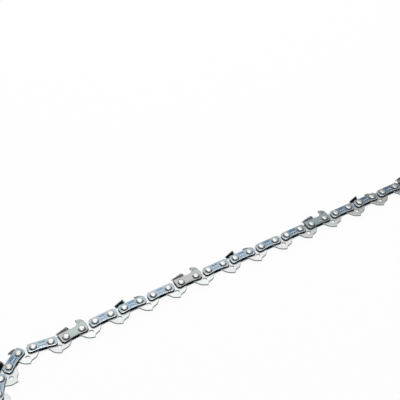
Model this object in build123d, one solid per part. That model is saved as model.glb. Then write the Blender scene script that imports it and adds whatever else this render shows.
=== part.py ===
from build123d import *
import math
import os

# Sizes in mm and angles in degrees; +Z is up, and the loop lies on its side on z = 0

# The chain: two rivet spacings make one pitch, and the pitches come in two equal halves
half_pitches = 25
drive_spacing = 8.88
strap_spacing = 10.17
drive_thickness = 1.27
strap_thickness = 1.10
side_clearance = 0.05

# Rivets
hub_radius = 1.60
hub_clearance = 0.08
head_radius = 1.95
head_height = 1.05
head_facets = 6
hub_facets = 5

# Tie strap, from its middle: half lengths forward and heights outward
strap_top = 2.90
strap_top_half = 7.30
strap_end_half = 8.65
strap_end_height = 0.50
strap_foot = 3.40
strap_foot_half = 7.00
arch_height = 0.80

# Drive link, from its middle
lobe_radius = 3.05
lobe_arc = 17.0
lobe_top = 2.60
lobe_top_half = 6.40
tang_depth = 8.80
tang_tip_at = -1.10
tang_notch = 7.10
tang_notch_at = 0.50
tang_ledge = 4.80
tang_ledge_at = 5.50
tang_root = 3.20
tang_root_at = -6.60

# Cutter
cutter_set = 3.00
top_plate_rear = 6.20
top_plate_front = 7.10
top_plate_thickness = 1.10
top_plate_start = -8.70
top_plate_end = -1.00
top_plate_past_middle = 1.00
filing_angle = 25.0
chamfer_drop = 1.70
chamfer_slope = 0.81
heel_height = 3.60
wall_foot = 3.00
wall_thickness = 2.20
gullet_height = 3.50
gullet_start = -0.60
gullet_end = 2.80
gauge_front = 8.80
gauge_shoulder = 4.90
gauge_top = 6.50
gauge_top_at = 7.30
gauge_tip = 6.80
gauge_tip_at = 5.00
gauge_neck = 4.30
gauge_neck_at = 4.00

# The lie of the loop: turns to the right at the pivots, and the stiff bends inside three links
small_corner = {0: 23.5, 1: 37.0, 2: -1.0, 3: -1.0, 4: 1.5}
stiff_bends = {2: 9.0, 3: -13.0, 4: 4.0}
large_corner_start = 16
large_corner_pivots = 4

# Where the cutters sit in one half of the loop; all other side plates are tie straps
lower_cutters = (1, 5, 9, 14, 18, 22)
upper_cutters = (3, 7, 12, 16, 20, 24)

os.makedirs("parts", exist_ok=True)

mid_height = cutter_set
half_drive = drive_thickness / 2
plate_outer = half_drive + strap_thickness


def flat(points):
    return Polygon(*points, align=None)


def slab(points, low, high):
    return Pos(0, 0, low) * extrude(flat(points), high - low)


def ring(radius, facets):
    step = 2 * math.pi / facets
    return [(radius * math.cos(k * step), radius * math.sin(k * step)) for k in range(facets)]


def head(side):
    # A faceted cone on the outside of a side plate
    base = Pos(0, 0, plate_outer) * flat(ring(head_radius, head_facets))
    cone = loft([base.face(), Vertex(0, 0, plate_outer + head_height)])
    return cone if side > 0 else mirror(cone, Plane.XY)


def strap_outline():
    right = [(strap_foot_half, -strap_foot), (strap_end_half, strap_end_height),
             (strap_top_half, strap_top)]
    left = [(-x, y) for x, y in reversed(right)]
    return [(0, arch_height - strap_foot)] + right + left


def cutter_outline():
    return [(0, arch_height - strap_foot), (strap_foot_half, -strap_foot),
            (strap_end_half, strap_end_height), (gauge_front, gauge_shoulder),
            (gauge_top_at, gauge_top), (gauge_tip_at, gauge_tip), (gauge_neck_at, gauge_neck),
            (gullet_end, gullet_height), (gullet_start, gullet_height),
            (top_plate_start, heel_height), (top_plate_start, -strap_end_height),
            (-strap_foot_half, -strap_foot)]


def tie(side):
    plate = slab(strap_outline(), half_drive, plate_outer)
    return plate if side > 0 else mirror(plate, Plane.XY)


def cutter(side):
    # The side wall leans out from the plate to the edge of the top plate, which rises forwards
    plate = slab(cutter_outline(), half_drive, plate_outer)
    start, end = top_plate_start, top_plate_end
    top = [(start, top_plate_rear), (start, top_plate_rear - top_plate_thickness),
           (end, top_plate_front - top_plate_thickness), (end, top_plate_front)]
    roof = slab(top, -top_plate_past_middle, cutter_set)
    foot = wall_foot
    lean = top_plate_rear - wall_thickness - foot
    rise = top_plate_front - top_plate_rear
    high = [(start, foot + lean), (end, foot + lean), (end, top_plate_front), (start, top_plate_rear)]
    low = [(start, foot), (end, foot), (end, foot + wall_thickness + rise), (start, foot + wall_thickness)]
    bottom = Pos(0, 0, half_drive) * flat(low)
    edge = Pos(0, 0, cutter_set) * flat(high)
    wall = loft([bottom.face(), edge.face()], ruled=True)
    face = Plane((end, 0, cutter_set), x_dir=(0, 1, 0),
                 z_dir=(-math.cos(math.radians(filing_angle)), 0, math.sin(math.radians(filing_angle))))
    # The outer corner is chamfered, and the chamfer climbs with the top plate
    along = Vector(end - start, rise, 0)
    across = Vector(0, chamfer_slope, -1)
    corner = Plane((end, top_plate_front - chamfer_drop, cutter_set), x_dir=along, z_dir=along.cross(across))
    tooth = split(roof + wall, bisect_by=face, keep=Keep.TOP)
    tooth = split(tooth, bisect_by=corner, keep=Keep.BOTTOM)
    whole = plate + tooth
    return whole if side > 0 else mirror(whole, Plane.XY)


def drive_outline():
    # Forward is +X; the rear lobe is round about its rivet
    rear = -drive_spacing / 2
    half = math.radians(lobe_arc / 2)
    low = (rear - lobe_radius * math.cos(half), -lobe_radius * math.sin(half))
    high = (low[0], -low[1])
    points = [(tang_root_at, -tang_root), (tang_tip_at, -tang_depth),
              (tang_notch_at, -tang_notch), (tang_ledge_at, -tang_ledge),
              (lobe_top_half, lobe_top), (-lobe_top_half, lobe_top)]
    edges = Polyline(high, *reversed(points), low) + ThreePointArc(low, (rear - lobe_radius, 0), high)
    return make_face(edges)


def drive_link():
    # The front half fills the fork of its own link; the rear half runs free in the link behind
    outline = drive_outline()
    thin = half_drive - side_clearance
    whole = Pos(0, 0, -half_drive) * extrude(outline, drive_thickness, dir=(0, 0, 1))
    step = Plane.YZ.offset(tang_notch_at)
    ahead = split(whole, bisect_by=step, keep=Keep.TOP)
    slim = Pos(0, 0, -thin) * extrude(outline, 2 * thin, dir=(0, 0, 1))
    behind = split(slim, bisect_by=step, keep=Keep.BOTTOM)
    hole_radius = (hub_radius + hub_clearance) / math.cos(math.pi / hub_facets)
    bore = slab(ring(hole_radius, hub_facets), -drive_thickness, drive_thickness)
    return ahead + (behind - Pos(-drive_spacing / 2, 0, 0) * bore)


def link(upper_is_cutter, lower_is_cutter, stiff_bend):
    # One pitch from its rear pivot: the drive link, then the riveted pair of side plates
    upper = cutter(1) if upper_is_cutter else tie(1)
    lower = cutter(-1) if lower_is_cutter else tie(-1)
    pair = upper + lower
    for x in (-strap_spacing / 2, strap_spacing / 2):
        pair += Pos(x, 0, 0) * head(1)
        pair += Pos(x, 0, 0) * head(-1)
    pair += Pos(strap_spacing / 2, 0, 0) * slab(ring(hub_radius, hub_facets), -half_drive, half_drive)
    place = Pos(drive_spacing, 0, 0) * Rot(0, 0, -stiff_bend) * Pos(strap_spacing / 2, 0, 0)
    return Pos(drive_spacing / 2, 0, 0) * drive_link() + place * pair


def turns():
    # The right turn at the front pivot of each link of one half; they add up to half a circle
    bends = [small_corner.get(k, 0.0) for k in range(half_pitches)]
    left = 180 - sum(bends) - sum(stiff_bends.values())
    for k in range(large_corner_start, large_corner_start + large_corner_pivots):
        bends[k] += left / large_corner_pivots
    return bends


def loop_places():
    # (x, y, heading) of each link's rear pivot, with the centre of the loop at the origin
    bends = turns()
    straight = large_corner_start - 1
    heading = sum(bends[:straight]) + sum(stiff_bends.values())
    x, y, places = 0.0, 0.0, []
    for n in range(2 * half_pitches):
        k = n % half_pitches
        places.append((x, y, heading))
        x += drive_spacing * math.cos(math.radians(heading))
        y += drive_spacing * math.sin(math.radians(heading))
        heading -= stiff_bends.get(k, 0.0)
        x += strap_spacing * math.cos(math.radians(heading))
        y += strap_spacing * math.sin(math.radians(heading))
        heading -= bends[k]
    middle_x = places[half_pitches][0] / 2
    middle_y = places[half_pitches][1] / 2
    return [(px - middle_x, py - middle_y, h) for px, py, h in places]


def kind(k):
    if k in upper_cutters:
        return "upper_cutter_link"
    return "lower_cutter_link" if k in lower_cutters else "tie_link"


made = {}
for n, (x, y, heading) in enumerate(loop_places()):
    k = n % half_pitches
    sort = (k in upper_cutters, k in lower_cutters, stiff_bends.get(k, 0.0))
    if sort not in made:
        made[sort] = link(*sort)
    piece = Pos(x, y, mid_height) * Rot(0, 0, heading) * made[sort]
    export_step(piece, f"parts/{kind(k)}_{n + 1:02d}.step")
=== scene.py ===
import math
import bmesh
import bpy
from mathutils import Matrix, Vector


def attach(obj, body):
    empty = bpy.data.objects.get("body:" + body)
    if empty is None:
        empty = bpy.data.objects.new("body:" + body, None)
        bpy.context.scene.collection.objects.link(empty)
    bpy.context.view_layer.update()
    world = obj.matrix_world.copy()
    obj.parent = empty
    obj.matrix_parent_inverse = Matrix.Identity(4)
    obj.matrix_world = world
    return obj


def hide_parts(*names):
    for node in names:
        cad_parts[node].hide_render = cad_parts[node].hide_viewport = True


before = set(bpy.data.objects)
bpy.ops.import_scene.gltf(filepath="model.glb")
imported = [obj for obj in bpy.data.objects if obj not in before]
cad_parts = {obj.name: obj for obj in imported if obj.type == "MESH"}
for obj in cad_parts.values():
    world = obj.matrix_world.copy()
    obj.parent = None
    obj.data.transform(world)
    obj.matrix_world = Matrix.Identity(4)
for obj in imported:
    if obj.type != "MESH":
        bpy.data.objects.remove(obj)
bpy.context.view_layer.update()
mm = 0.001
print("frame loaded:", len(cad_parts), "links")


def linear(hexColour):
    parts = [int(hexColour[i:i + 2], 16) / 255 for i in (1, 3, 5)]
    return [c / 12.92 if c <= 0.04045 else ((c + 0.055) / 1.055) ** 2.4 for c in parts] + [1.0]


def addNode(tree, kind, inputs=None, **settings):
    # an input that is a socket gets linked, anything else is set as its value
    node = tree.nodes.new(kind)
    for name, value in settings.items():
        setattr(node, name, value)
    for key, value in (inputs or {}).items():
        if isinstance(value, bpy.types.NodeSocket):
            tree.links.new(value, node.inputs[key])
        else:
            node.inputs[key].default_value = value
    return node


# outlines and plates, in mm; each face keeps a mark of how it was made
marks = {"face": 0.0, "tooth": 0.25, "groove": 0.5, "inside": 0.75, "rim": 1.0, "wall": 2.0, "ground": 3.0}


def softened(corners, step=15, most=0.48):
    # corners (x, y, radius) become one smooth outline, and an arc takes at most a share of each edge
    outline = []
    for i, (x, y, radius) in enumerate(corners):
        here = Vector((x, y))
        back = Vector(corners[i - 1][:2]) - here
        ahead = Vector(corners[(i + 1) % len(corners)][:2]) - here
        half = back.angle(ahead) / 2
        reach = min(radius / math.tan(half), most * back.length, most * ahead.length)
        start = here + back.normalized() * reach
        end = here + ahead.normalized() * reach
        middle = here + (back.normalized() + ahead.normalized()).normalized() * (reach / math.cos(half))
        spoke = start - middle
        first = math.atan2(spoke.y, spoke.x)
        last = math.atan2((end - middle).y, (end - middle).x)
        turn = (last - first + math.pi) % (2 * math.pi) - math.pi
        count = max(1, math.ceil(abs(turn) / math.radians(step)))
        for k in range(count + 1):
            angle = first + turn * k / count
            outline.append(middle + spoke.length * Vector((math.cos(angle), math.sin(angle))))
    return outline


def inset(outline, depth, sharpest=0.4):
    # moves a counter-clockwise outline inwards
    moved = []
    for i, here in enumerate(outline):
        a = (here - outline[i - 1]).normalized()
        b = (outline[(i + 1) % len(outline)] - here).normalized()
        side = Vector((-a.y - b.y, a.x + b.x))
        moved.append(here + side * (depth / max(sharpest, 1 + a.dot(b))))
    return moved


def circle(x, y, radius, count=20):
    step = 2 * math.pi / count
    return [Vector((x + radius * math.cos(step * k), y + radius * math.sin(step * k))) for k in range(count)]


def ringOf(shape, outline, z):
    return [shape.verts.new((p.x, p.y, z)) for p in outline]


def band(shape, low, high, mark, edge):
    for i in range(len(low)):
        shape.faces.new((low[i - 1], low[i], high[i], high[i - 1]))[edge] = marks[mark]


def edgesOf(shape, ring):
    return [shape.edges.get((ring[i - 1], ring[i])) for i in range(len(ring))]


# stamped edges: the bend at the die side in shares of the rim, the roll's width in times its drop, and the lip
# of a bore in mm
stamped = {"bendIn": 0.35, "bendDown": 0.45, "rollWidth": 4, "boreLip": 0.12}


def blank(shape, outline, low, high, rim, roll, back, holes=(), grooves=(), grooveDepth=0.0, sheared="wall"):
    # a stamped plate: the outer face rolls over at the die side, the walls are sheared
    edge = shape.faces.layers.float.new("edge")
    profile = [(rim, low), (0, low + rim), (0, high - rim - roll),
               (stamped["bendIn"] * rim, high - stamped["bendDown"] * rim - roll),
               (rim, high - roll), (rim + stamped["rollWidth"] * roll, high)]
    rings = [ringOf(shape, inset(outline, depth), z) for depth, z in profile]
    # with an inside face, the inner chamfer takes the wall colour, painted near-black as shade between the
    # plates
    hidden = "wall" if back == "inside" else "rim"
    for a, b, mark in zip(rings, rings[1:], (hidden, sheared, sheared, "rim", "rim")):
        band(shape, a, b, mark, edge)
    topEdges, bottomEdges = edgesOf(shape, rings[-1]), edgesOf(shape, rings[0])
    lip = stamped["boreLip"]
    for x, y, radius in holes:
        bore = [ringOf(shape, circle(x, y, radius + wider), z)
                for wider, z in ((lip, low), (0, low + lip), (0, high - lip), (lip, high))]
        for a, b, mark in zip(bore, bore[1:], ("rim", "wall", "rim")):
            band(shape, a, b, mark, edge)
        topEdges += edgesOf(shape, bore[-1])
        bottomEdges += edgesOf(shape, bore[0])
    for groove, mark in grooves:
        mouth = ringOf(shape, groove, high)
        floor = ringOf(shape, inset(groove, grooveDepth), high - grooveDepth)
        band(shape, floor, mouth, mark, edge)
        shape.faces.new(floor)[edge] = marks[mark]
        topEdges += edgesOf(shape, mouth)
    for edges, mark in ((topEdges, "face"), (bottomEdges, back)):
        filled = bmesh.ops.triangle_fill(shape, use_beauty=True, use_dissolve=False, edges=edges)["geom"]
        for face in filled:
            if isinstance(face, bmesh.types.BMFace):
                face[edge] = marks[mark]


def finishProto(shape, name, lower=False, unit=mm, flatAngle=24, roundAngle=45):
    # mirrors a plate to the lower side if asked, stores its own flat coordinates, and makes the object
    edge = shape.faces.layers.float.get("edge")
    if lower:
        bmesh.ops.scale(shape, vec=(1, 1, -1), verts=shape.verts)
    bmesh.ops.recalc_face_normals(shape, faces=shape.faces)
    plateMap = shape.loops.layers.uv.new("plateMap")
    for face in shape.faces:
        face.smooth = True
        for loop in face.loops:
            loop[plateMap].uv = (loop.vert.co.x, loop.vert.co.y)  # from the middle, in mm or head radii
    for line in shape.edges:
        kinds = {face[edge] for face in line.link_faces}
        limit = flatAngle if kinds == {marks["face"]} else roundAngle
        line.smooth = len(kinds) == 1 and line.calc_face_angle(math.pi) < math.radians(limit)
    bmesh.ops.scale(shape, vec=(unit, unit, unit), verts=shape.verts)
    mesh = bpy.data.meshes.new(name)
    shape.to_mesh(mesh)
    shape.free()
    proto = bpy.data.objects.new(name, mesh)
    bpy.context.scene.collection.objects.link(proto)
    return proto


# the shared sizes of the chain, in mm
chain = {"driveSpacing": 8.88, "strapSpacing": 10.17, "driveThickness": 1.27, "strapThickness": 1.10,
         "midHeight": 3.0, "headRadius": 1.93, "headHeight": 1.02}
halfDrive = chain["driveThickness"] / 2
plateFace = halfDrive + chain["strapThickness"]


# tie straps: blanked from spring steel, with four rows of pressed grooves between the rivets; every second
# row's floors painted dark as shade, the others pale as a painted highlight; a groove is x, y, length, width
# and mark
strap = {"corners": [(0, -2.2, 16.0), (6.9, -3.05, 1.3), (8.4, -2.4, 1.2), (8.9, 0.5, 2.0), (8.4, 3.1, 1.1),
                     (-7.3, 3.1, 1.2), (-8.6, 1.0, 1.2), (-8.5, -2.2, 1.2), (-7.0, -3.05, 1.3)],
         "rim": 0.12, "roll": 0.05, "grooveDepth": 0.1,
         "grooves": [(-0.7, 1.6, 1.5, 0.62, "groove"), (1.2, 1.6, 1.8, 0.62, "groove"),
                     (-1.35, 0.1, 1.2, 0.6, "rim"), (0.05, 0.1, 1.2, 0.6, "rim"), (1.4, 0.1, 1.1, 0.6, "rim"),
                     (-0.9, -0.8, 1.6, 0.36, "groove"), (1.0, -0.8, 1.6, 0.36, "groove"),
                     (-1.1, -1.5, 1.3, 0.4, "rim"), (0.6, -1.5, 1.5, 0.4, "rim")]}


def grooveAt(x, y, length, width, mark):
    a, w = length / 2, width / 2
    corners = [(x - a, y - w, w), (x + a, y - w, w), (x + a, y + w, w), (x - a, y + w, w)]
    return softened(corners, step=45), mark


def makeStrap(lower):
    shape = bmesh.new()
    # an upper plate's sheared walls take the near-black wall colour as painted shade, a lower plate's the
    # paler rim colour as painted light
    blank(shape, softened(strap["corners"]), halfDrive, plateFace, strap["rim"], strap["roll"], "inside",
          grooves=[grooveAt(*spot) for spot in strap["grooves"]], grooveDepth=strap["grooveDepth"],
          sheared="rim" if lower else "wall")
    return finishProto(shape, "tieStrap" + ("Lower" if lower else "Upper"), lower)


# cutters: a side plate with a depth gauge in front, and the tooth folded over at the rear, narrower and lower
# there; the tooth's section at its rear and at its front is (across, up) on the outer skin, then on the inner
# skin, and heel and filedFront say where along the plate each row of the section starts and ends
cutter = {"corners": [(0, -2.2, 16.0), (6.75, -3.0, 1.3), (8.4, -2.3, 1.2), (8.95, 0.8, 2.0),
                      (8.95, 4.9, 1.2), (7.5, 6.2, 0.8), (4.75, 6.98, 0.1), (4.85, 4.6, 1.0), (3.2, 3.5, 1.4),
                      (-0.2, 3.5, 1.2), (-1.0, 4.15, 0.3), (-8.6, 4.15, 0.2), (-8.6, -1.7, 1.2),
                      (-7.3, -3.0, 1.2)],
          "rim": 0.12, "roll": 0.05, "creaseAt": (4.75, 4.0), "creaseSlope": 0.18, "creaseWidth": 0.7,
          "gaugeSet": 0.35, "gaugeLean": 0.24, "gaugeStart": 3.2, "filedFrom": -2.7,
          "shares": (0.0, 0.25, 0.5, 0.7, 0.82, 0.9, 0.96, 1.0),
          "rearSection": [(1.69, 3.0, 0.66, 3.0), (1.70, 4.0, 0.66, 4.0), (1.92, 4.1, 0.66, 4.1),
                          (2.2, 4.14, 0.75, 4.2), (2.38, 4.18, 0.9, 4.3), (2.4, 4.25, 1.0, 4.4),
                          (2.3, 4.38, 0.55, 4.85), (0.75, 5.62, 0.5, 4.92), (0.6, 5.72, 0.45, 4.95),
                          (0.3, 5.76, 0.35, 4.98), (0.23, 5.68, 0.27, 5.0), (0.2, 5.35, 0.23, 5.05)],
          "frontSection": [(1.69, 3.0, 0.66, 3.0), (1.70, 4.0, 0.66, 4.0), (1.98, 4.12, 0.7, 4.15),
                           (2.75, 4.35, 0.95, 4.4), (2.97, 4.5, 1.3, 4.6), (3.0, 5.0, 1.5, 4.95),
                           (2.9, 5.17, 1.45, 5.35), (1.05, 6.85, 0.65, 5.85), (0.75, 6.98, 0.3, 5.95),
                           (-0.85, 7.04, -0.75, 6.05), (-0.97, 6.89, -0.9, 6.09), (-1.0, 6.49, -0.97, 6.15)],
          "heel": (-8.4, -8.4, -8.3, -8.1, -8.05, -8.05, -8.2, -8.7, -8.7, -8.7, -8.65, -8.65),
          "filedFront": (-0.9, -0.95, -1.05, -1.4, -1.7, -1.95, -2.0, -1.8, -1.8, -2.65, -2.75, -2.75),
          # the first rows of the tooth's outer skin take the tooth colours as painted shade; its inner lining
          # and the last rows of the rear cap take the wall colour, painted near-black as shade
          "skins": ["tooth"] * 6 + ["face"] * 3 + ["rim"] * 2, "linings": ["face"] + ["wall"] * 10,
          "rearCap": ["rim"] * 8 + ["wall"] * 3}


def makeTooth(shape):
    edge = shape.faces.layers.float.get("edge")
    sections = list(zip(cutter["rearSection"], cutter["frontSection"], cutter["heel"], cutter["filedFront"]))
    rows = []
    for share in cutter["shares"]:
        row = []
        for rear, front, heel, filed in sections:
            outAcross, outUp, inAcross, inUp = [a + share * (b - a) for a, b in zip(rear, front)]
            x = heel + share * (filed - heel)
            row.append([shape.verts.new((x, outUp, outAcross)), shape.verts.new((x, inUp, inAcross))])
        rows.append(row)
    count = len(sections)
    for a, b in zip(rows, rows[1:]):
        for i in range(count - 1):
            for side, mark in ((0, cutter["skins"][i]), (1, cutter["linings"][i])):
                face = shape.faces.new((a[i][side], a[i + 1][side], b[i + 1][side], b[i][side]))
                bared = side == 1 and face.calc_center_median().x > cutter["filedFrom"]  # inside, by the file
                face[edge] = marks["ground" if bared else mark]
        for i in (0, count - 1):
            shape.faces.new((a[i][0], a[i][1], b[i][1], b[i][0]))[edge] = marks["wall"]
    for row, caps in ((rows[0], cutter["rearCap"]), (rows[-1], ["ground"] * count)):
        for i in range(count - 1):
            shape.faces.new((row[i][0], row[i + 1][0], row[i + 1][1], row[i][1]))[edge] = marks[caps[i]]


def makeCutter(lower):
    shape = bmesh.new()
    # an upper plate's sheared walls take the near-black wall colour as painted shade, a lower plate's the
    # paler rim colour as painted light
    blank(shape, softened(cutter["corners"]), halfDrive, plateFace, cutter["rim"], cutter["roll"], "inside",
          sheared="rim" if lower else "wall")
    # the gauge is set outwards above a sloping crease, and leans out further to its top; the first cut parts
    # the gauge from the plate, and the two that make the crease stay in front of it
    up = Vector((-cutter["creaseSlope"], 1, 0)).normalized()
    foot = Vector((*cutter["creaseAt"], 0))
    ahead = Vector((cutter["gaugeStart"], 0, 0))
    for at, normal in ((ahead, Vector((1, 0, 0))), (foot, up), (foot + cutter["creaseWidth"] * up, up)):
        gauge = [face for face in shape.faces if at == ahead or face.calc_center_median().x > ahead.x]
        lines = {line for face in gauge for line in face.edges}
        points = {vert for face in gauge for vert in face.verts}
        bmesh.ops.bisect_plane(shape, geom=gauge + list(lines) + list(points), plane_co=at, plane_no=normal)
    for vert in shape.verts:
        if vert.co.x > ahead.x:
            over = (vert.co - foot).dot(up)
            vert.co.z += cutter["gaugeSet"] * max(0.0, min(1.0, over / cutter["creaseWidth"]))
            vert.co.z += cutter["gaugeLean"] * max(0.0, over - cutter["creaseWidth"])
    makeTooth(shape)
    return finishProto(shape, "cutter" + ("Lower" if lower else "Upper"), lower)


# drive links: flat ground steel, with an oil hole and a hooked tang
drive = {"corners": [(-7.45, 2.75, 2.7), (-7.45, -2.1, 1.8), (-6.75, -3.3, 1.2), (-4.7, -7.0, 5.0),
                     (-1.05, -8.8, 0.3), (0.45, -7.15, 0.3), (3.7, -6.25, 0.7), (5.3, -4.8, 1.0),
                     (7.45, -1.9, 1.8), (7.45, 2.75, 2.7)],
         "oilHole": (-0.8, -4.3, 1.2), "rim": 0.08, "roll": 0.02, "sideClearance": 0.05}


def makeDrive():
    shape = bmesh.new()
    half = halfDrive - drive["sideClearance"]
    blank(shape, softened(drive["corners"]), -half, half, drive["rim"], drive["roll"], "face",
          holes=[drive["oilHole"]])
    return finishProto(shape, "driveLink")


# rivet heads: spun over, with a shallow dish left by the tool; one unit in radius and height
rivet = {"profile": [(1.0, 0.0), (1.0, 0.36), (0.93, 0.84), (0.74, 0.995), (0.28, 0.985)],
         "sides": 13, "flatAngle": 60}


def makeRivet():
    shape = bmesh.new()
    edge = shape.faces.layers.float.new("edge")
    rings = [ringOf(shape, circle(0, 0, radius, rivet["sides"]), up) for radius, up in rivet["profile"]]
    for k, (a, b) in enumerate(zip(rings, rings[1:])):
        # the foot band takes the wall colour, painted dark as shade
        band(shape, a, b, "face" if k else "wall", edge)
    shape.faces.new(rings[-1])[edge] = marks["face"]
    shape.faces.new(rings[0])[edge] = marks["wall"]
    return finishProto(shape, "rivetHead", unit=1.0, flatAngle=rivet["flatAngle"])


protos = {"strapUpper": makeStrap(False), "strapLower": makeStrap(True), "cutterUpper": makeCutter(False),
          "cutterLower": makeCutter(True), "drive": makeDrive(), "rivet": makeRivet()}
print("plates, drive link and rivet made:", {k: len(p.data.polygons) for k, p in protos.items()})


# steels: sizes are in mm, a rivet's grain is in head radii, and a fade has a start, an end and its most

# blued spring steel: a thin oxide gives the straps a cold colour that shifts from link to link, from deep
# blue over grey to lilac, satin from tumbling; the sheared walls and the inside are painted near-black as
# shade, the rim pale as a painted highlight, and a painted shadow lies round the rivets
bluedSpringSteel = {"tones": [(0.1, "#7690A6"), (0.25, "#92A9BD"), (0.45, "#A6BACA"), (0.62, "#AFC1C5"),
                              (0.85, "#A9BACE")],
                    "patch": 9.0, "cloud": 0.14, "grain": 0.22, "grainDark": 0.84, "rough": (0.26, 0.42),
                    "wallRough": 0.6, "groove": "#66788A", "rim": "#E2ECF3", "wall": "#282D32",
                    "inside": "#282D32", "scale": "#5A626A", "ends": "#B2BDC1", "endsFrom": (1.9, 3.6, 0.5),
                    "paintedShade": "#20262B", "rivetShadowRing": (2.05, 2.35)}

# hard plated steel: the cutters are a flat satin grey, some greenish and some blue, the wall of the tooth is
# painted dark as shade and streaked across, its inside is painted black as shade, and the filed face is bright
platedCutterSteel = {"tones": [(0.12, "#9DB0BE"), (0.4, "#B8C4C2"), (0.55, "#BDC3C1"), (0.63, "#BCBFBE"),
                               (0.69, "#A5B4B9")],
                     "patch": 7.0, "cloud": 0.06, "grain": 0.30, "grainDark": 0.88, "rough": (0.30, 0.44),
                     "wallRough": 0.6, "inside": "#1E2023", "scale": "#8C8C93", "rim": "#AEB7B6",
                     "wall": "#2B2F32", "ground": "#E6EAEA", "paintedShade": "#24282A", "rivetShadowRing": (2.05, 2.35),
                     "edgeShade": (-1.1, -2.7, 0.6), "tooth": ("#6E666B", "#AAA3A6"), "toothLines": 0.42}

# ground carbon steel: the drive links are bright, with fine grinding lines and grey edges
groundDriveSteel = {"tones": [(0.2, "#D7DADA"), (0.5, "#DFE2E2"), (0.8, "#E6E8E8")],
                    "patch": 6.0, "cloud": 0.3, "grain": 0.18, "grainDark": 0.93, "rough": (0.22, 0.36),
                    "wallRough": 0.4, "rim": "#C4C8C9", "wall": "#83888A"}

# spun rivet steel: nearly white heads, with rings left by the spinning tool and a foot painted dark as shade
spunRivetSteel = {"tones": [(0.2, "#DDDEDC"), (0.5, "#E5E6E4"), (0.8, "#ECECEA")],
                  "patch": 3.0, "cloud": 0.3, "grain": 0.16, "grainDark": 0.92, "rough": (0.24, 0.36),
                  "wallRough": 0.5, "wall": "#2A2D2F", "spun": True}

# what the steels share: how far the tint moves the tone, how closely a mark is read, the stretch, detail and
# contrast of the lines, the depth of the bump, and, in mm, where the painted shadow lies round a rivet and how
# far the painted shade darkens the inside
allSteel = {"patchDetail": 2.0, "tintReach": 0.8, "tintStart": 0.1, "markWidth": 0.1, "grainStretch": 0.3,
            "grainDetail": 3.0, "spunDetail": 2.0, "grainRange": (0.35, 0.65), "satinRange": (0.3, 0.7),
            "toothStretch": 0.4, "toothDetail": 1.0, "toothRange": (0.38, 0.62), "bump": 0.35,
            "bumpDepth": 0.02, "rivetShadowShift": (0.08, 0.32), "rivetShadowMost": 0.9, "insideShade": (1.6, 2.4)}


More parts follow.
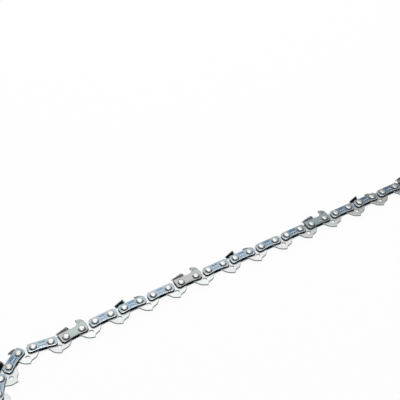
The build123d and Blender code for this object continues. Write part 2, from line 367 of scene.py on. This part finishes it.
def steelMaterial(name, finish):
    material = bpy.data.materials.new(name)
    material.use_nodes = True
    tree = material.node_tree
    tree.nodes.clear()
    place = addNode(tree, "ShaderNodeTexCoord").outputs["Object"]
    plateMap = addNode(tree, "ShaderNodeUVMap", uv_map="plateMap").outputs["UV"]
    onPlate = addNode(tree, "ShaderNodeSeparateXYZ", {0: plateMap}).outputs
    edge = addNode(tree, "ShaderNodeAttribute", attribute_name="edge").outputs["Fac"]
    tint = addNode(tree, "ShaderNodeAttribute", attribute_name="tint").outputs["Fac"]
    masks = {kind: addNode(tree, "ShaderNodeMath", {0: edge, 1: mark, 2: allSteel["markWidth"]},
                           operation="COMPARE").outputs[0] for kind, mark in marks.items() if kind in finish}

    # tone: patches of a few mm, lifted or lowered by the link's own tint
    patches = addNode(tree, "ShaderNodeTexNoise", {"Vector": place, "Scale": 1 / (finish["patch"] * mm),
                                                   "Detail": allSteel["patchDetail"]})
    cloud = addNode(tree, "ShaderNodeMapRange", {0: patches.outputs["Fac"], 3: -finish["cloud"],
                                                 4: finish["cloud"]})
    tinted = addNode(tree, "ShaderNodeMath", {0: tint, 1: allSteel["tintReach"], 2: cloud.outputs["Result"]},
                     operation="MULTIPLY_ADD")
    tone = addNode(tree, "ShaderNodeMath", {0: tinted.outputs[0], 1: allSteel["tintStart"]}, operation="ADD")
    ramp = addNode(tree, "ShaderNodeValToRGB", {"Fac": tone.outputs[0]})
    for i, (at, hexColour) in enumerate(finish["tones"]):
        stop = ramp.color_ramp.elements[i] if i < 2 else ramp.color_ramp.elements.new(at)
        stop.position = at
        stop.color = linear(hexColour)

    # grain: fine lines along a plate or round a rivet, drawn coarse enough to show
    if finish.get("spun"):
        reach = addNode(tree, "ShaderNodeVectorMath", {0: plateMap}, operation="LENGTH")
        grain = addNode(tree, "ShaderNodeTexNoise", {"W": reach.outputs["Value"],
                                                     "Scale": 1 / finish["grain"],
                                                     "Detail": allSteel["spunDetail"]}, noise_dimensions="1D")
    else:
        stretch = (allSteel["grainStretch"], 1 / finish["grain"], 1.0)
        along = addNode(tree, "ShaderNodeMapping", {"Vector": plateMap, "Scale": stretch})
        grain = addNode(tree, "ShaderNodeTexNoise", {"Vector": along.outputs["Vector"], "Scale": 1.0,
                                                     "Detail": allSteel["grainDetail"]})
    lines = grain.outputs["Fac"]
    start, end = allSteel["grainRange"]
    dark = addNode(tree, "ShaderNodeMapRange", {0: lines, 1: start, 2: end, 3: finish["grainDark"], 4: 1.0})
    colour = addNode(tree, "ShaderNodeMix", {0: 1.0, 6: ramp.outputs["Color"], 7: dark.outputs["Result"]},
                     data_type="RGBA", blend_type="MULTIPLY").outputs[2]
    layers = []  # what lies over the bare tone, in turn: the share that it covers, and its colour

    # painted shade on the wall of the tooth, with grinding lines across it
    if "tooth" in finish:
        stretch = (1 / finish["toothLines"], allSteel["toothStretch"], 1.0)
        across = addNode(tree, "ShaderNodeMapping", {"Vector": plateMap, "Scale": stretch})
        ground = addNode(tree, "ShaderNodeTexNoise", {"Vector": across.outputs["Vector"], "Scale": 1.0,
                                                      "Detail": allSteel["toothDetail"]})
        start, end = allSteel["toothRange"]
        streak = addNode(tree, "ShaderNodeMapRange", {0: ground.outputs["Fac"], 1: start, 2: end})
        deepShade, lightShade = [linear(hexColour) for hexColour in finish["tooth"]]
        paintedWallShade = addNode(tree, "ShaderNodeMix", {0: streak.outputs["Result"], 6: deepShade, 7: lightShade},
                          data_type="RGBA")
        layers.append((masks["tooth"], paintedWallShade.outputs[2]))

    # the oxide is strongest between the rivets, and the ends are tumbled grey
    if "ends" in finish:
        start, end, most = finish["endsFrom"]
        out = addNode(tree, "ShaderNodeMath", {0: onPlate["X"]}, operation="ABSOLUTE")
        bare = addNode(tree, "ShaderNodeMapRange", {0: out.outputs[0], 1: start, 2: end, 3: 0.0, 4: most})
        layers.append((bare.outputs["Result"], linear(finish["ends"])))

    # painted shadow round the rivet heads, shifted towards the tang side
    if "paintedShade" in finish:
        backwards, tangwards = allSteel["rivetShadowShift"]
        back = addNode(tree, "ShaderNodeMath", {0: onPlate["X"], 1: backwards}, operation="ADD")
        aside = addNode(tree, "ShaderNodeMath", {0: back.outputs[0]}, operation="ABSOLUTE")
        fromRivet = addNode(tree, "ShaderNodeMath", {0: aside.outputs[0], 1: chain["strapSpacing"] / 2},
                            operation="SUBTRACT")
        lowered = addNode(tree, "ShaderNodeMath", {0: onPlate["Y"], 1: tangwards}, operation="ADD")
        spot = addNode(tree, "ShaderNodeCombineXYZ", {0: fromRivet.outputs[0], 1: lowered.outputs[0]})
        away = addNode(tree, "ShaderNodeVectorMath", {0: spot.outputs[0]}, operation="LENGTH")
        start, end = finish["rivetShadowRing"]
        ring = addNode(tree, "ShaderNodeMapRange", {0: away.outputs["Value"], 1: start, 2: end,
                                                    3: allSteel["rivetShadowMost"], 4: 0.0})
        layers.append((ring.outputs["Result"], linear(finish["paintedShade"])))
        if "edgeShade" in finish:  # and painted shade along the lower edge
            start, end, most = finish["edgeShade"]
            shadedEdge = addNode(tree, "ShaderNodeMapRange", {0: onPlate["Y"], 1: start, 2: end, 3: 0.0, 4: most})
            layers.append((shadedEdge.outputs["Result"], linear(finish["paintedShade"])))

    # what the press and the file left on each kind of face, with painted shade on the groove floors, insides
    # and walls of straps and cutters, and a painted highlight on the straps' rim
    for kind in ("groove", "inside", "rim", "wall", "ground"):
        if kind in finish:
            left = linear(finish[kind])
            if kind == "inside":  # painted shade: near-black between the plates, lighter up to the gauge
                start, end = allSteel["insideShade"]
                depth = addNode(tree, "ShaderNodeMapRange", {0: onPlate["Y"], 1: start, 2: end})
                shadedInside = addNode(tree, "ShaderNodeMix", {0: depth.outputs["Result"], 6: left,
                                                        7: linear(finish["scale"])}, data_type="RGBA")
                left = shadedInside.outputs[2]
            layers.append((masks[kind], left))
    for share, above in layers:
        colour = addNode(tree, "ShaderNodeMix", {0: share, 6: colour, 7: above}, data_type="RGBA").outputs[2]

    start, end = allSteel["satinRange"]
    smooth, dull = finish["rough"]
    satin = addNode(tree, "ShaderNodeMapRange", {0: lines, 1: start, 2: end, 3: smooth, 4: dull})
    rough = addNode(tree, "ShaderNodeMix", {0: masks["wall"], 2: satin.outputs["Result"],
                                            3: finish["wallRough"]})
    bump = addNode(tree, "ShaderNodeBump", {"Height": lines, "Strength": allSteel["bump"],
                                            "Distance": allSteel["bumpDepth"] * mm})
    shader = addNode(tree, "ShaderNodeBsdfPrincipled", {"Base Color": colour, "Metallic": 1.0,
                                                        "Roughness": rough.outputs[0],
                                                        "Normal": bump.outputs[0]})
    addNode(tree, "ShaderNodeOutputMaterial", {"Surface": shader.outputs[0]})
    return material


finishes = {"strap": steelMaterial("bluedSpringSteel", bluedSpringSteel),
            "cutter": steelMaterial("platedCutterSteel", platedCutterSteel),
            "drive": steelMaterial("groundDriveSteel", groundDriveSteel),
            "rivet": steelMaterial("spunRivetSteel", spunRivetSteel)}
print("materials made:", [m.name for m in finishes.values()])


# one pitch of chain: drive link, riveted pair of side plates and four rivet heads
linkInputs = {"NodeSocketObject": ("Drive Link", "Upper Plate", "Lower Plate", "Rivet Head"),
              "NodeSocketMaterial": ("Drive Steel", "Upper Steel", "Lower Steel", "Rivet Steel"),
              "NodeSocketFloat": ("Drive Spacing", "Strap Spacing", "Plate Face", "Head Radius",
                                  "Head Height", "Stiff Bend", "Heading"),
              "NodeSocketVector": ("Place",), "NodeSocketInt": ("Seed",)}


def linkTree():
    tree = bpy.data.node_groups.new("sawChainLink", "GeometryNodeTree")
    for kind, names in linkInputs.items():
        for name in names:
            tree.interface.new_socket(name=name, in_out="INPUT", socket_type=kind)
    tree.interface.new_socket(name="Geometry", in_out="OUTPUT", socket_type="NodeSocketGeometry")
    given = addNode(tree, "NodeGroupInput").outputs
    shapes = {name: addNode(tree, "GeometryNodeObjectInfo", {"Object": given[name]}).outputs["Geometry"]
              for name in linkInputs["NodeSocketObject"]}

    # rivet heads: a line of two points on the outer face of each side plate, each head turned at random
    heads = []
    for side, flip in ((1, 0.0), (-1, math.pi)):
        back = addNode(tree, "ShaderNodeMath", {0: given["Strap Spacing"], 1: -0.5}, operation="MULTIPLY")
        face = addNode(tree, "ShaderNodeMath", {0: given["Plate Face"], 1: side}, operation="MULTIPLY")
        start = addNode(tree, "ShaderNodeCombineXYZ", {0: back.outputs[0], 2: face.outputs[0]})
        step = addNode(tree, "ShaderNodeCombineXYZ", {0: given["Strap Spacing"]})
        pins = addNode(tree, "GeometryNodeMeshLine", {"Count": 2, "Start Location": start.outputs[0],
                                                      "Offset": step.outputs[0]})
        spin = addNode(tree, "FunctionNodeRandomValue", {2: 0.0, 3: 2 * math.pi, "Seed": given["Seed"]},
                       data_type="FLOAT")
        turned = addNode(tree, "ShaderNodeCombineXYZ", {0: flip, 2: spin.outputs[1]})
        size = addNode(tree, "ShaderNodeCombineXYZ", {0: given["Head Radius"], 1: given["Head Radius"],
                                                      2: given["Head Height"]})
        heads.append(addNode(tree, "GeometryNodeInstanceOnPoints", {
            "Points": pins.outputs[0], "Instance": shapes["Rivet Head"], "Rotation": turned.outputs[0],
            "Scale": size.outputs[0]}).outputs[0])
    bothHeads = addNode(tree, "GeometryNodeJoinGeometry")
    for instances in heads:
        tree.links.new(instances, bothHeads.inputs[0])

    # the pair of side plates is stiff with the drive link behind it, at the link's own small bend
    halfDriveLink = addNode(tree, "ShaderNodeMath", {0: given["Drive Spacing"], 1: 0.5}, operation="MULTIPLY")
    driveAt = addNode(tree, "ShaderNodeCombineXYZ", {0: halfDriveLink.outputs[0]})
    halfStrap = addNode(tree, "ShaderNodeMath", {0: given["Strap Spacing"], 1: 0.5}, operation="MULTIPLY")
    pairAt = addNode(tree, "ShaderNodeCombineXYZ", {0: halfStrap.outputs[0]})
    hingeAt = addNode(tree, "ShaderNodeCombineXYZ", {0: given["Drive Spacing"]})
    bend = addNode(tree, "ShaderNodeCombineXYZ", {2: given["Stiff Bend"]})
    turn = addNode(tree, "ShaderNodeCombineXYZ", {2: given["Heading"]})
    joined = addNode(tree, "GeometryNodeJoinGeometry")
    parts = [(shapes["Drive Link"], "Drive Steel"), (shapes["Upper Plate"], "Upper Steel"),
             (shapes["Lower Plate"], "Lower Steel"), (bothHeads.outputs[0], "Rivet Steel")]
    for k, (geometry, steel) in enumerate(parts):
        if k == 0:
            moved = addNode(tree, "GeometryNodeTransform", {"Geometry": geometry,
                                                            "Translation": driveAt.outputs[0]})
        else:
            pair = addNode(tree, "GeometryNodeTransform", {"Geometry": geometry,
                                                           "Translation": pairAt.outputs[0]})
            moved = addNode(tree, "GeometryNodeTransform", {"Geometry": pair.outputs[0],
                                                            "Rotation": bend.outputs[0],
                                                            "Translation": hingeAt.outputs[0]})
        placed = addNode(tree, "GeometryNodeTransform", {"Geometry": moved.outputs[0],
                                                         "Rotation": turn.outputs[0],
                                                         "Translation": given["Place"]})
        real = addNode(tree, "GeometryNodeRealizeInstances", {0: placed.outputs[0]})
        order = addNode(tree, "FunctionNodeInputInt", integer=k)  # one tint all over a plate
        shade = addNode(tree, "FunctionNodeRandomValue", {2: 0.0, 3: 1.0, "ID": order.outputs[0],
                                                          "Seed": given["Seed"]}, data_type="FLOAT")
        tinted = addNode(tree, "GeometryNodeStoreNamedAttribute", {
            "Geometry": real.outputs[0], "Name": "tint", "Value": shade.outputs[1]},
            data_type="FLOAT", domain="POINT")
        finished = addNode(tree, "GeometryNodeSetMaterial", {"Geometry": tinted.outputs[0],
                                                             "Material": given[steel]})
        tree.links.new(finished.outputs[0], joined.inputs[0])
    tree.links.new(joined.outputs[0], addNode(tree, "NodeGroupOutput").inputs[0])
    return tree


# the lie of the loop: right turns in degrees at the front pivots of one half, the other half is the same
lie = {"halfPitches": 25, "smallCorner": {0: 23.5, 1: 37.0, 2: -1.0, 3: -1.0, 4: 1.5},
       "stiffBends": {2: 9.0, 3: -13.0, 4: 4.0}, "largeCornerStart": 16, "largeCornerPivots": 4,
       "seed": 22887}


def loopPlaces():
    # place and heading of each link's rear pivot, from the middle of the loop
    bends = [lie["smallCorner"].get(k, 0.0) for k in range(lie["halfPitches"])]
    left = 180 - sum(bends) - sum(lie["stiffBends"].values())
    for k in range(lie["largeCornerStart"], lie["largeCornerStart"] + lie["largeCornerPivots"]):
        bends[k] += left / lie["largeCornerPivots"]
    heading = math.radians(sum(bends[:lie["largeCornerStart"] - 1]) + sum(lie["stiffBends"].values()))
    at, pivots = Vector((0, 0)), []
    for n in range(2 * lie["halfPitches"]):
        k = n % lie["halfPitches"]
        pivots.append((at.copy(), heading))
        at += chain["driveSpacing"] * Vector((math.cos(heading), math.sin(heading)))
        heading -= math.radians(lie["stiffBends"].get(k, 0.0))
        at += chain["strapSpacing"] * Vector((math.cos(heading), math.sin(heading)))
        heading -= math.radians(bends[k])
    middle = pivots[lie["halfPitches"]][0] / 2
    return [(spot - middle, turn) for spot, turn in pivots]


tree = linkTree()
sockets = {item.name: item.identifier for item in tree.interface.items_tree if item.in_out == "INPUT"}
places = loopPlaces()
carriers = []
for node in sorted(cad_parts, key=lambda name: name[-2:]):
    number = int(node[-2:])
    at, heading = places[number - 1]
    upper = "cutter" if node.startswith("upper") else "strap"
    lower = "cutter" if node.startswith("lower") else "strap"
    values = {"Drive Link": protos["drive"], "Upper Plate": protos[upper + "Upper"],
              "Lower Plate": protos[lower + "Lower"], "Rivet Head": protos["rivet"],
              "Drive Steel": finishes["drive"], "Upper Steel": finishes[upper],
              "Lower Steel": finishes[lower], "Rivet Steel": finishes["rivet"],
              "Drive Spacing": chain["driveSpacing"] * mm, "Strap Spacing": chain["strapSpacing"] * mm,
              "Plate Face": plateFace * mm, "Head Radius": chain["headRadius"] * mm,
              "Head Height": chain["headHeight"] * mm, "Heading": heading,
              "Stiff Bend": -math.radians(lie["stiffBends"].get((number - 1) % lie["halfPitches"], 0.0)),
              "Place": (at.x * mm, at.y * mm, chain["midHeight"] * mm), "Seed": lie["seed"] + number}
    carrier = bpy.data.objects.new("chainLink_%02d" % number, bpy.data.meshes.new("carrier_%02d" % number))
    bpy.context.scene.collection.objects.link(carrier)
    modifier = carrier.modifiers.new("sawChainLink", "NODES")
    modifier.node_group = tree
    for name, value in values.items():
        modifier[sockets[name]] = value
    carriers.append((carrier, node, number))

bpy.context.view_layer.update()
graph = bpy.context.evaluated_depsgraph_get()
meshes = [bpy.data.meshes.new_from_object(carrier.evaluated_get(graph)) for carrier, node, number in carriers]
for (carrier, node, number), mesh in zip(carriers, meshes):
    carrier.modifiers.clear()
    mesh.name = carrier.name
    carrier.data = mesh
    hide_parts(node)
    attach(carrier, "link_%02d" % number)
for proto in protos.values():
    bpy.data.objects.remove(proto)
print("links made:", len(meshes), "faces in all:", sum(len(m.polygons) for m in meshes))


# floor, light and camera, in metres; the key lamp's azimuth is from the camera's heading, to the right
studio = {"floor": "#F4F4F3", "white": "#FFFFFF", "floorRadius": 9.0, "floorSides": 64, "whiteShare": 0.92,
          "sky": 0.36, "boxSize": (0.54, 0.6), "boxPlace": (0.15, 0.5, 0.5), "boxGlow": 0.98,
          "keyStrength": 1.5, "keyAngle": 60, "keyAzimuth": 180, "keyElevation": 72}
view = {"place": (-0.2187, -0.2729, 0.4355), "forward": (0.3898, 0.6314, -0.6704), "azimuth": 31.7,
        "lens": 89.845, "sensor": 36, "clipStart": 0.01}

shape = bmesh.new()
bmesh.ops.create_circle(shape, cap_ends=True, segments=studio["floorSides"], radius=studio["floorRadius"])
floorMesh = bpy.data.meshes.new("floor")
shape.to_mesh(floorMesh)
shape.free()
floor = bpy.data.objects.new("floor", floorMesh)
bpy.context.scene.collection.objects.link(floor)

# matt backdrop paper: white to the camera and in the steel, with a share left that takes the chain's shadow
paper = bpy.data.materials.new("mattBackdropPaper")
paper.use_nodes = True
paperTree = paper.node_tree
paperTree.nodes.clear()
seen = addNode(paperTree, "ShaderNodeLightPath").outputs
looked = addNode(paperTree, "ShaderNodeMath", {0: seen["Is Camera Ray"], 1: seen["Is Glossy Ray"]},
                 operation="MAXIMUM")
through = addNode(paperTree, "ShaderNodeMath", {0: looked.outputs[0], 1: seen["Is Transmission Ray"]},
                  operation="MAXIMUM")
share = addNode(paperTree, "ShaderNodeMath", {0: through.outputs[0], 1: studio["whiteShare"]},
                operation="MULTIPLY")
matt = addNode(paperTree, "ShaderNodeBsdfDiffuse", {"Color": linear(studio["floor"])})
white = addNode(paperTree, "ShaderNodeEmission", {"Color": linear(studio["white"]), "Strength": 1.0})
mixed = addNode(paperTree, "ShaderNodeMixShader", {0: share.outputs[0], 1: matt.outputs[0],
                                                   2: white.outputs[0]})
addNode(paperTree, "ShaderNodeOutputMaterial", {"Surface": mixed.outputs[0]})
floorMesh.materials.append(paper)

# the tent is white where the camera sees it past the floor, and dimmer as light
world = bpy.data.worlds.new("softTent")
world.use_nodes = True
bpy.context.scene.world = world
tent = world.node_tree
tent.nodes.clear()
lookedAt = addNode(tent, "ShaderNodeLightPath").outputs["Is Camera Ray"]
level = addNode(tent, "ShaderNodeMapRange", {0: lookedAt, 3: studio["sky"], 4: 1.0})
sky = addNode(tent, "ShaderNodeBackground", {"Color": linear(studio["white"]),
                                             "Strength": level.outputs["Result"]})
addNode(tent, "ShaderNodeOutputWorld", {"Surface": sky.outputs[0]})

# the soft box hangs beyond the chain, and the flat faces mirror it up to where it ends on the right
softBox = bpy.data.lights.new("softBox", "AREA")
softBox.shape = "RECTANGLE"
softBox.size, softBox.size_y = studio["boxSize"]
softBox.energy = studio["boxGlow"] * math.pi * softBox.size * softBox.size_y
box = bpy.data.objects.new("softBox", softBox)
box.location = studio["boxPlace"]
bpy.context.scene.collection.objects.link(box)

keyLamp = bpy.data.lights.new("keyLamp", "SUN")
keyLamp.energy = studio["keyStrength"]
keyLamp.angle = math.radians(studio["keyAngle"])
key = bpy.data.objects.new("keyLamp", keyLamp)
turn, up = math.radians(view["azimuth"] + studio["keyAzimuth"]), math.radians(studio["keyElevation"])
skyward = Vector((math.sin(turn) * math.cos(up), math.cos(turn) * math.cos(up), math.sin(up)))
key.rotation_euler = skyward.to_track_quat("Z", "Y").to_euler()
bpy.context.scene.collection.objects.link(key)

lens = bpy.data.cameras.new("camera")
lens.lens = view["lens"]
lens.sensor_width = view["sensor"]
lens.sensor_fit = "HORIZONTAL"
lens.clip_start = view["clipStart"]
camera = bpy.data.objects.new("camera", lens)
camera.location = view["place"]
camera.rotation_euler = Vector(view["forward"]).to_track_quat("-Z", "Y").to_euler()
bpy.context.scene.collection.objects.link(camera)
bpy.context.scene.camera = camera
bpy.context.scene.view_settings.view_transform = "Standard"
print("floor, light and camera set")
